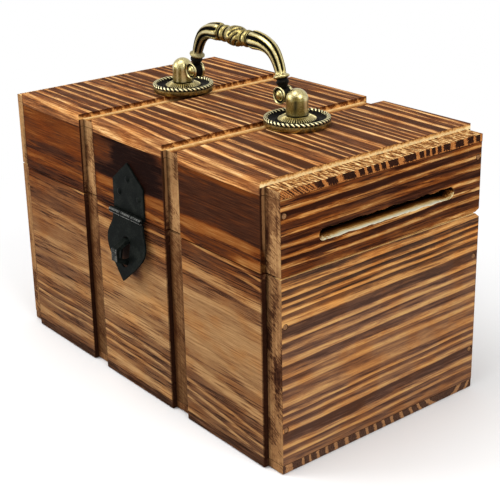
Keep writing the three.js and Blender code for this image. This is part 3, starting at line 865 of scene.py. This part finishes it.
def make_fixings(sizes):
    steel = plain_steel("plain_steel", sizes)
    scorched = scorched_steel("scorched_steel", sizes)
    for node, piece in NODES.items():
        if "brad" in node or "hinge_nail" in node:
            piece.data.materials.clear()
            piece.data.materials.append(scorched if "brad" in node else steel)
    kinds = ("base_hinge_leaf", "lid_hinge_leaf", "hinge_pin", "handle_screw", "handle_washer")
    for hand in ("left", "right"):
        for kind in kinds:
            make_filed(f"{kind}_{hand}", "_filed", sizes.sheet_edge, steel)


NAIL_PROFILE = [
    (0, 0.55), (0.5, 0.52), (0.95, 0.39), (1.3, 0.2), (1.55, 0.04), (1.58, -0.02), (0.7, 0),
    (0.7, -7.4), (0, -8.2),
]


def make_hasp(sizes):
    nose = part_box("hasp_staple")[0].y / MM
    iron = black_iron("black_iron", joint_place("hasp_swing"), nose, sizes)
    for node in ("hasp_upper_leaf", "hasp_lower_leaf", "hasp_pin", "hasp_staple"):
        make_filed(node, "_forged", sizes.sheet_edge, iron)
    for node in ("hasp_nail_top", "hasp_nail_left", "hasp_nail_right"):
        low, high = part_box(node)
        middle = (low + high) / 2
        piece = turned(node + "_domed", NAIL_PROFILE, 20)
        piece.rotation_euler = (math.pi / 2, 0, 0)
        piece.location = (middle.x, low.y + 0.7 * MM, middle.z)
        settle(piece)
        smooth(piece)
        stands_for(piece, node, iron)


# ---- handle ----

ROPE_RADIUS = 14
ROPE_HEIGHT = 3.3
ROPE_HALF_THICKNESS = 0.98
RAYS_FROM = 5.65
RAYS_TO = 9.4
PEG_RADIUS = 1.4
PEG_HOLE = 1.7
SCREW_HOLE = 2.3
ROSETTE_PROFILE = [
    (2.3, 0), (14.2, 0), (14.7, 0.3), (14.9, 0.9), (14.95, 2), (14.85, 3), (14.4, 3.25), (13.2, 3.2),
    (12.9, 2.9), (12.4, 2.3), (11.4, 2), (10.2, 2), (9.6, 2.2), (9.35, 2.6), (8.9, 2.95), (8.2, 3.35),
    (7.4, 3.75), (6.7, 4.1), (6.1, 4.35), (5.7, 4.45), (5.3, 4.4), (5.25, 4.2), (2.3, 4.2),
]


def make_rosettes(sizes):
    brass = antique_brass("rosette_brass", sizes)
    for hand, centre in (("left", HANDLE_LEFT), ("right", HANDLE)):
        node = f"handle_rosette_{hand}"
        piece = turned(node + "_cast", ROSETTE_PROFILE, sizes.rays * 6, closed=True)
        cut_rays(piece, sizes.rays)
        join(piece, [make_rope(sizes.rope_beads)])
        piece.location = (centre.x * MM, centre.y * MM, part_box(node)[0].z)
        settle(piece)
        smooth(piece, 50)
        stands_for(piece, node, brass)


def cut_rays(piece, rays):
    """Sinks the valleys between the collar's rays, blackens them and the dish, and paints shadow on the wall under
    the rope.
    """
    open_mesh(piece)
    for classes, drop in (((0,), -0.75), ((1, 5), -0.4)):

        def on_ray(vertex):
            place = vertex.co / MM
            radius = math.hypot(place.x, place.y)
            count = round(turns(place.y, place.x) * rays * 6) % 6
            return RAYS_FROM < radius < RAYS_TO and place.z > 2.1 and count in classes

        pick(piece, "VERT", on_ray)
        bpy.ops.transform.translate(value=(0, 0, drop * MM))
    rest_tools()

    def soot(place):
        radius = math.hypot(place.x, place.y)
        if place.z < 1:
            return 0
        dish = limited((radius - 8.5) / 0.6) * limited((13.6 - radius) / 0.6)
        # Painted shadow on the wall under the rope.
        under_rope = 0.9 if radius > 14.3 and place.z > 2.9 else 0
        ray = 0.5 + 0.5 * math.cos(turns(place.y, place.x) * rays * math.tau)
        cut = 0.5 if radius > 7.2 else 0.85
        ring = 0.95 if RAYS_FROM < radius < RAYS_TO and ray > cut else 0
        return max(dish, under_rope, ring)

    def polish(place):
        radius = math.hypot(place.x, place.y)
        if 5.4 < radius < RAYS_TO and place.z > 2.4:
            return 0.36
        return 0.22 if radius > 14.3 else 0

    wear(piece, soot, polish)


def make_rope(beads):
    """The rope round a rosette's rim: a ring with slanting valleys, black at the bottom."""
    bpy.ops.mesh.primitive_torus_add(
        major_segments=beads * 6,
        minor_segments=12,
        major_radius=ROPE_RADIUS * MM,
        minor_radius=ROPE_HALF_THICKNESS * MM,
        location=(0, 0, ROPE_HEIGHT * MM),
    )
    rope = bpy.context.object
    settle(rope)

    def strand(place):
        """How far round its strands a point is; each bead takes six steps."""
        across = math.hypot(place.x, place.y) - ROPE_RADIUS
        return turns(place.y, place.x) * beads * 6 + turns(place.z - ROPE_HEIGHT, across) * 12

    open_mesh(rope)
    for classes, shrink in (((0,), 0.46), ((1, 5), 0.2)):
        pick(rope, "VERT", lambda vertex: round(strand(vertex.co / MM)) % 6 in classes)
        bpy.ops.transform.shrink_fatten(value=-shrink * MM)
    rest_tools()

    def soot(place):
        return 1 if 0.5 + 0.5 * math.cos(strand(place) / 6 * math.tau) > 0.6 else 0

    wear(rope, soot, lambda place: 1)
    return rope


def make_posts(sizes):
    brass = antique_brass("post_brass", sizes)
    pivot = joint_place("bail_swing").z
    for hand, centre, inward in (("left", HANDLE_LEFT, 1), ("right", HANDLE, -1)):
        node = f"handle_post_{hand}"
        low, high = (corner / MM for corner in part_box(node))
        height = high.z - low.z
        radius = (high.x - low.x) / 2
        shoulder = height - radius
        profile = [(0, 0), (radius - 0.5, 0), (radius - 0.15, 0.12), (radius, 0.45)]
        profile += [(radius, shoulder * ring / 8) for ring in range(1, 9)]
        for i in range(1, 12):
            angle = math.pi / 2 * i / 12
            profile.append((radius * math.cos(angle), shoulder + radius * math.sin(angle)))
        profile.append((0, height))
        piece = turned(node + "_cast", profile, 64)
        piece.location = (centre.x * MM, centre.y * MM, low.z * MM)
        settle(piece)
        eye = Vector((centre.x, centre.y, pivot))
        across = Vector((inward, 0, 0))
        bore(piece, PEG_HOLE, eye - across * 1.8, eye + across * 9)
        screw_end = (centre.x, centre.y, pivot - 3.2)
        bore(piece, SCREW_HOLE, (centre.x, centre.y, low.z - 1), screw_end)

        def streak(place):
            """Upright streaks, down from the crown: painted reflections, dark in the soot and light in the polish.
            """
            around = math.atan2(place.y - centre.y, place.x - centre.x)
            run = Vector((math.cos(around) * 2.2, math.sin(around) * 2.2, place.z * 0.05 + inward))
            return noise.noise(run) * (1 - crown(place))

        def crown(place):
            return limited((place.z - low.z - shoulder) / radius * 2)

        def soot(place):
            foot = 1 - limited((place.z - low.z - 0.2) / 0.8)
            return max(foot, -streak(place) * 0.9)

        # Painted highlight on the crown, and the painted reflection streaks, go into the polish.
        wear(piece, soot, lambda place: 0.24 + streak(place) * 1.3 + crown(place) * 0.2)
        smooth(piece, 40)
        stands_for(piece, node, brass)


# Half the bail's middle line, as distance from the middle and height above the top board.
BAIL_LINE = [
    (32.6, 14.3), (31.9, 17.5), (31, 20.6), (29.9, 23.8), (28.2, 27.2), (25.3, 30.6), (20.8, 32.8),
    (14.5, 33.6), (7, 33.5), (0, 33.5),
]
# Half its width, by distance along that line: the arms from the middle, the feet from the end.
BAIL_PROFILE = [
    (0, 4.75), (0.8, 4.74), (1.6, 4.7), (2.4, 4.6), (3.2, 4.42), (4, 4.15), (4.8, 3.8), (5.5, 3.4),
    (6, 3), (6.3, 2.85), (6.6, 3.05), (7, 3.5), (7.5, 3.85), (8.1, 4), (8.7, 3.9), (9.2, 3.6),
    (9.5, 3.25), (9.8, 3.1), (10.1, 3.5), (10.5, 3.8), (10.9, 3.6), (11.2, 3.3), (11.6, 3.8),
    (12.4, 4.25), (13.4, 4.35), (14.6, 4.3), (16, 4.15), (17.5, 4), (19, 3.85), (21, 3.65), (23, 3.45),
    (25, 3.28), (27, 3.1), (29, 2.94), (31, 2.8), (33, 2.68), (35, 2.58), (37, 2.5),
]
BAIL_FOOT = [
    (7.2, 2.44), (6.9, 2.6), (6.6, 3.2), (6.2, 3.65), (5.7, 3.7), (5.35, 3.4), (5.05, 2.7), (4.7, 2.35),
    (4.35, 2.5), (3.95, 2.85), (3.5, 2.95), (3, 2.8), (2.5, 2.4), (1.4, 1.9), (0.4, 1.5),
]
BAIL_LEAN = 0.35  # the arch lies this far to the right over its eyes
KNOB_MIDDLE = 1.6
KNOB_HALF_LENGTH = 3
KNOB_SLANT = 3.6  # how fast the knob's cords turn
NECKS = (6.3, 9.8, 11.2)  # the narrow places beside the knob
ARM_FROM = 11.6  # where the arms' flutes begin
EYE_OUT = 32.8  # from the bail's middle to the middle of each eye
PEG_FROM = 31
EYE_FACE = [
    (0, 3.7), (0.95, 3.6), (1.7, 3.25), (2.3, 2.7), (2.55, 2.2), (3.25, 2.2), (3.4, 2.8), (3.65, 3.05),
    (3.93, 2.9), (4, 2.5), (3.85, 2.1), (3.4, 1.7),
]


def bail_line():
    """The bail's middle line, as a curve that the straight rod is bent along."""
    points = [(-x, z) for x, z in BAIL_LINE] + [(x, z) for x, z in reversed(BAIL_LINE[:-1])]
    rest_tools()
    bpy.ops.curve.primitive_bezier_curve_add(location=(0, 0, 0))
    line = bpy.context.object
    line.data.dimensions = "3D"
    line.data.splines.remove(line.data.splines[0])
    spline = line.data.splines.new("BEZIER")
    spline.bezier_points.add(len(points) - 1)
    for knot, (x, z) in zip(spline.bezier_points, points):
        knot.co = (x * MM, 0, z * MM)
        knot.handle_left_type = knot.handle_right_type = "AUTO"
    line.data.resolution_u = 24
    line.data.twist_mode = "MINIMUM"
    bpy.context.view_layer.update()
    return line


def bail_rod(middle, arm_end, flutes):
    """The straight rod, with flutes along both arms and slanting cords round its knob."""
    steps = flutes * 12
    right = [(s, r) for s, r in BAIL_PROFILE if s < arm_end - 0.3]
    s, r = right[-1]
    while s + 1.5 < arm_end - 0.5:
        s += 1.5
        right.append((s, r))
    right += [(middle - s, r) for s, r in BAIL_FOOT]
    stations = [(-s, r) for s, r in reversed(right[1:])] + right
    profile = [(0, stations[0][0] - 0.3)]
    profile += [(r, s) for s, r in stations]
    profile += [(0, stations[-1][0] + 0.3)]
    rod = turned("bail_handle_cast", profile, steps)
    rod.rotation_euler = (0, math.pi / 2, 0)
    settle(rod)

    def on_arm(along):
        return ARM_FROM < abs(along) < arm_end - 0.2

    def on_knob(along):
        return abs(along - KNOB_MIDDLE) < KNOB_HALF_LENGTH

    def cut_in(inside, slant, factors):
        """Draws every twelfth line of points towards the axis, and its neighbours less."""
        for classes, factor in zip(((0,), (1, 11), (2, 10)), factors):

            def in_cut(vertex):
                place = vertex.co / MM
                count = round(turns(place.z, place.y) * steps + place.x * slant) % 12
                return inside(place.x) and count in classes

            pick(rod, "VERT", in_cut)
            bpy.ops.transform.resize(value=(1, factor, factor), center_override=(0, 0, 0))

    open_mesh(rod)
    cut_in(on_arm, 0, (0.66, 0.7, 0.86))
    cut_in(on_knob, KNOB_SLANT, (0.84, 0.88, 0.95))
    rest_tools()

    def soot(place):
        s = abs(place.x)
        around = turns(place.z, place.y)
        black = 0
        if on_arm(s):
            black = (math.cos(around * flutes * math.tau) + 0.1) / 0.5
        elif on_knob(place.x):
            cord = (around * steps + place.x * KNOB_SLANT) / 12
            black = (math.cos(cord * math.tau) - 0.3) / 0.5
        # Painted shade: the left arm's lower part and its foot are darkened.
        if place.x < 14 - arm_end:
            black = max(black, 0.42)
        if s > arm_end + 1.9:
            black = 1 if s < arm_end + 3.2 else 0.7
        if min(abs(s - neck) for neck in NECKS) < 0.35:
            black = 1
        return black

    def polish(place):
        if on_arm(place.x):
            return -math.cos(turns(place.z, place.y) * flutes * math.tau) * 0.62
        return 0.4 if abs(place.x) > arm_end - 0.2 else 0.2

    wear(rod, soot, polish)
    return rod


def bail_eye(side, height, reach):
    """The eye at one foot: a drum with a ringed boss on each face, and a peg into the post."""
    drum = turned("drum", EYE_FACE + [(r, -h) for r, h in reversed(EYE_FACE)], 40)
    drum.rotation_euler = (math.pi / 2, 0, 0)
    drum.location = (side * EYE_OUT * MM, 0, height * MM)
    settle(drum)

    def soot(place):
        radius = math.hypot(place.x - side * EYE_OUT, place.z - height)
        if 2.4 < radius < 3.3 and abs(place.y) > 1.9:
            return 1
        return 0.8 if abs(place.y) < 1.9 else 0

    wear(drum, soot, lambda place: 0.5 if abs(place.y) < 3.2 else 0.2)
    tip = [(PEG_RADIUS, reach - 0.3), (PEG_RADIUS - 0.3, reach), (0, reach)]
    peg = turned("peg", [(0, 0), (PEG_RADIUS, 0)] + tip, 24)
    peg.rotation_euler = (0, side * math.pi / 2, 0)
    peg.location = (side * PEG_FROM * MM, 0, height * MM)
    settle(peg)
    wear(peg, lambda place: 0.6)
    return [drum, peg]


def make_bail(sizes):
    brass = antique_brass("bail_brass", sizes)
    low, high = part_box("bail_handle")
    centre = (low + high) / 2
    line = bail_line()
    middle = line.data.splines[0].calc_length() / MM / 2
    rod = bail_rod(middle, middle - BAIL_FOOT[0][0], sizes.flutes)
    rod.location.x = middle * MM
    settle(rod)
    modify(rod, "CURVE", object=line, deform_axis="POS_X")
    bpy.data.objects.remove(line)
    rod.location.x = BAIL_LEAN * MM
    settle(rod)

    eye_height = joint_place("bail_swing").z - TOP
    reach = (high.x - centre.x) / MM - PEG_FROM
    join(rod, bail_eye(-1, eye_height, reach) + bail_eye(1, eye_height, reach))
    rod.location = (centre.x, centre.y, TOP * MM)
    settle(rod)
    smooth(rod, 60)
    stands_for(rod, "bail_handle", brass)


# ---- stage ----

CAMERA_PLACE = (0.42103, -0.32784, 0.26756)
CAMERA_TURN = (51.325, 19.455, -1.161)  # azimuth, elevation and roll, in degrees
LAMP_AIM = Vector((0, 0, 0.06))


def make_floor(tint):
    """Pale paper under the box that turns into plain white away from it."""
    rest_tools()
    bpy.ops.mesh.primitive_plane_add(size=8, location=(0, 0, -0.0003))
    floor = bpy.context.object
    floor.name = "floor"
    settle(floor)
    finish = Finish("floor_white")
    x, y, z = finish.place()
    away = ((x * x + y * y) ** 0.5).rise(110, 330)
    paper = finish.add(
        "ShaderNodeBsdfPrincipled",
        None,
        {"Base Color": paint(tint), "Roughness": 0.9, "Specular IOR Level": 0.1},
    )
    white = finish.add("ShaderNodeEmission", None, {"Color": (1, 1, 1, 1), "Strength": 1})
    mixed = finish.add("ShaderNodeMixShader", None, {0: away * finish.seen(), 1: paper, 2: white})
    finish.add("ShaderNodeOutputMaterial", None, {"Surface": mixed})
    floor.data.materials.append(finish.owner)


def make_world(strength):
    """Even light all round, seen as plain white."""
    finish = Finish("studio", "worlds")
    bpy.context.scene.world = finish.owner
    limits = {"Value": finish.seen(), "To Min": strength, "To Max": 1}
    level = finish.add("ShaderNodeMapRange", None, limits)
    sky = finish.add("ShaderNodeBackground", None, {"Color": (1, 1, 1, 1), "Strength": level})
    finish.add("ShaderNodeOutputWorld", None, {"Surface": sky})


def make_camera():
    rest_tools()
    azimuth, elevation, roll = (math.radians(angle) for angle in CAMERA_TURN)
    bpy.ops.object.camera_add()
    camera = bpy.context.object
    camera.matrix_world = (
        Matrix.Translation(CAMERA_PLACE)
        @ Matrix.Rotation(azimuth, 4, "Z")
        @ Matrix.Rotation(math.pi / 2 - elevation, 4, "X")
        @ Matrix.Rotation(roll, 4, "Z")
    )
    camera.data.lens = 85
    camera.data.sensor_width = 36
    camera.data.shift_y = -0.1
    camera.data.clip_start = 0.01
    bpy.context.scene.camera = camera
    bpy.context.scene.view_settings.view_transform = "Standard"


def make_stage(sizes):
    make_floor(sizes.floor)
    make_world(sizes.sky)
    for name, place, side, power in (
        ("lamp_over", (-0.1, -0.35, 1.15), 0.7, sizes.lamp_over),
        ("lamp_front", (-0.75, -0.85, 0.48), 0.6, sizes.lamp_front),
        ("lamp_end", (0.9, -0.05, 0.78), 0.6, sizes.lamp_end),
    ):
        aim = (LAMP_AIM - Vector(place)).to_track_quat("-Z", "Y").to_euler()
        bpy.ops.object.light_add(type="AREA", location=place, rotation=aim)
        lamp = bpy.context.object
        lamp.name = name
        lamp.data.size = side
        lamp.data.energy = power
    make_camera()


# ---- add-on ----


def tint_property(name, description, red, green, blue):
    """A colour setting with a default written 0 to 255."""
    default = colour(red, green, blue)[:3]
    limits = {"subtype": "COLOR", "min": 0.0, "max": 1.0}
    return FloatVectorProperty(name=name, description=description, default=default, **limits)


class MoneyBoxSizes(bpy.types.PropertyGroup):
    """The sizes, colours and lamps that a user may change"""

    arris: FloatProperty(
        name="Arris", description="Rounding of the boards' outer edges, in mm", default=0.45
    )
    slot_chip: FloatProperty(
        name="Slot chip", description="How far the slot's lips wander, in mm", default=0.6
    )
    sheet_edge: FloatProperty(
        name="Sheet edge", description="Rounding of sheet metal edges, in mm", default=0.12
    )
    rays: IntProperty(name="Rays", description="Rays round each rosette's hub", default=46)
    rope_beads: IntProperty(name="Beads", description="Beads in each rosette's rim", default=42)
    flutes: IntProperty(name="Flutes", description="Flutes round each arm of the bail", default=7)
    wood: tint_property("Wood tint", "Laid over all the wood; white leaves it alone", 255, 255, 255)
    brass: tint_property("Brass", "The handle where it has gone dull", 138, 122, 68)
    # This also colours the painted highlights and light reflection streaks on the posts.
    polished_brass_and_highlight: tint_property("Polished brass", "The handle's worn high places", 236, 224, 172)
    # This also colours the painted shade under the rosettes' rope, on the bail's left arm and in the posts' dark
    # streaks.
    soot: tint_property("Soot", "The black in the handle's hollows", 16, 14, 10)
    iron: tint_property("Iron", "The hasp and the staple", 14, 17, 15)
    # This colours the painted highlight lines on the hasp's barrel and the staple's nose.
    iron_highlight: tint_property("Rubbed iron", "The hasp's worn edges", 168, 168, 162)
    steel: tint_property("Steel", "The hinges, screws and washers", 150, 147, 140)
    brad: tint_property("Brads", "The scorched brads in the end boards", 128, 90, 58)
    floor: tint_property("Floor", "The studio floor round the box", 248, 248, 248)
    sky: FloatProperty(name="Sky", description="Strength of the studio's even light", default=0.5)
    lamp_over: FloatProperty(
        name="Lamp over", description="Power of the lamp above", default=6.0, unit="POWER"
    )
    lamp_front: FloatProperty(
        name="Lamp front", description="Power of the lamp in front", default=6.6, unit="POWER"
    )
    lamp_end: FloatProperty(
        name="Lamp end", description="Power of the lamp at the end", default=6.0, unit="POWER"
    )


class MONEYBOX_OT_boards(bpy.types.Operator):
    """Builds the ten burnt pine boards"""

    bl_idname = "moneybox.boards"
    bl_label = "Boards"
    bl_options = {"REGISTER", "UNDO"}

    def execute(self, context):
        make_boards(context.scene.money_box)
        return {"FINISHED"}


class MONEYBOX_OT_fixings(bpy.types.Operator):
    """Builds the butt hinges, screws and washers and finishes the brads"""

    bl_idname = "moneybox.fixings"
    bl_label = "Fixings"
    bl_options = {"REGISTER", "UNDO"}

    def execute(self, context):
        make_fixings(context.scene.money_box)
        return {"FINISHED"}


class MONEYBOX_OT_hasp(bpy.types.Operator):
    """Builds the hasp, its nails and the staple"""

    bl_idname = "moneybox.hasp"
    bl_label = "Hasp"
    bl_options = {"REGISTER", "UNDO"}

    def execute(self, context):
        make_hasp(context.scene.money_box)
        return {"FINISHED"}


class MONEYBOX_OT_rosettes(bpy.types.Operator):
    """Builds the two rosettes"""

    bl_idname = "moneybox.rosettes"
    bl_label = "Rosettes"
    bl_options = {"REGISTER", "UNDO"}

    def execute(self, context):
        make_rosettes(context.scene.money_box)
        return {"FINISHED"}


class MONEYBOX_OT_posts(bpy.types.Operator):
    """Builds the two domed posts"""

    bl_idname = "moneybox.posts"
    bl_label = "Posts"
    bl_options = {"REGISTER", "UNDO"}

    def execute(self, context):
        make_posts(context.scene.money_box)
        return {"FINISHED"}


class MONEYBOX_OT_bail(bpy.types.Operator):
    """Builds the bail"""

    bl_idname = "moneybox.bail"
    bl_label = "Bail"
    bl_options = {"REGISTER", "UNDO"}

    def execute(self, context):
        make_bail(context.scene.money_box)
        return {"FINISHED"}


class MONEYBOX_OT_stage(bpy.types.Operator):
    """Builds the floor, the lights and the camera"""

    bl_idname = "moneybox.stage"
    bl_label = "Stage"
    bl_options = {"REGISTER", "UNDO"}

    def execute(self, context):
        make_stage(context.scene.money_box)
        return {"FINISHED"}


PIECE_OPERATORS = (
    MONEYBOX_OT_boards,
    MONEYBOX_OT_fixings,
    MONEYBOX_OT_hasp,
    MONEYBOX_OT_rosettes,
    MONEYBOX_OT_posts,
    MONEYBOX_OT_bail,
    MONEYBOX_OT_stage,
)


class MONEYBOX_PT_panel(bpy.types.Panel):
    """Lists the money box's pieces"""

    bl_idname = "MONEYBOX_PT_panel"
    bl_label = "Money box"
    bl_space_type = "VIEW_3D"
    bl_region_type = "UI"
    bl_category = "Money box"

    def draw(self, context):
        sizes = context.scene.money_box
        for name in MoneyBoxSizes.__annotations__:
            self.layout.prop(sizes, name)
        for operator in PIECE_OPERATORS:
            self.layout.operator(operator.bl_idname)


CLASSES = (MoneyBoxSizes, *PIECE_OPERATORS, MONEYBOX_PT_panel)


def register():
    for part in CLASSES:
        bpy.utils.register_class(part)
    bpy.types.Scene.money_box = PointerProperty(type=MoneyBoxSizes)


def unregister():
    del bpy.types.Scene.money_box
    for part in reversed(CLASSES):
        bpy.utils.unregister_class(part)


def main():
    register()
    for operator in PIECE_OPERATORS:
        group, name = operator.bl_idname.split(".")
        getattr(getattr(bpy.ops, group), name)()
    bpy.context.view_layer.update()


if __name__ == "__main__":
    main()
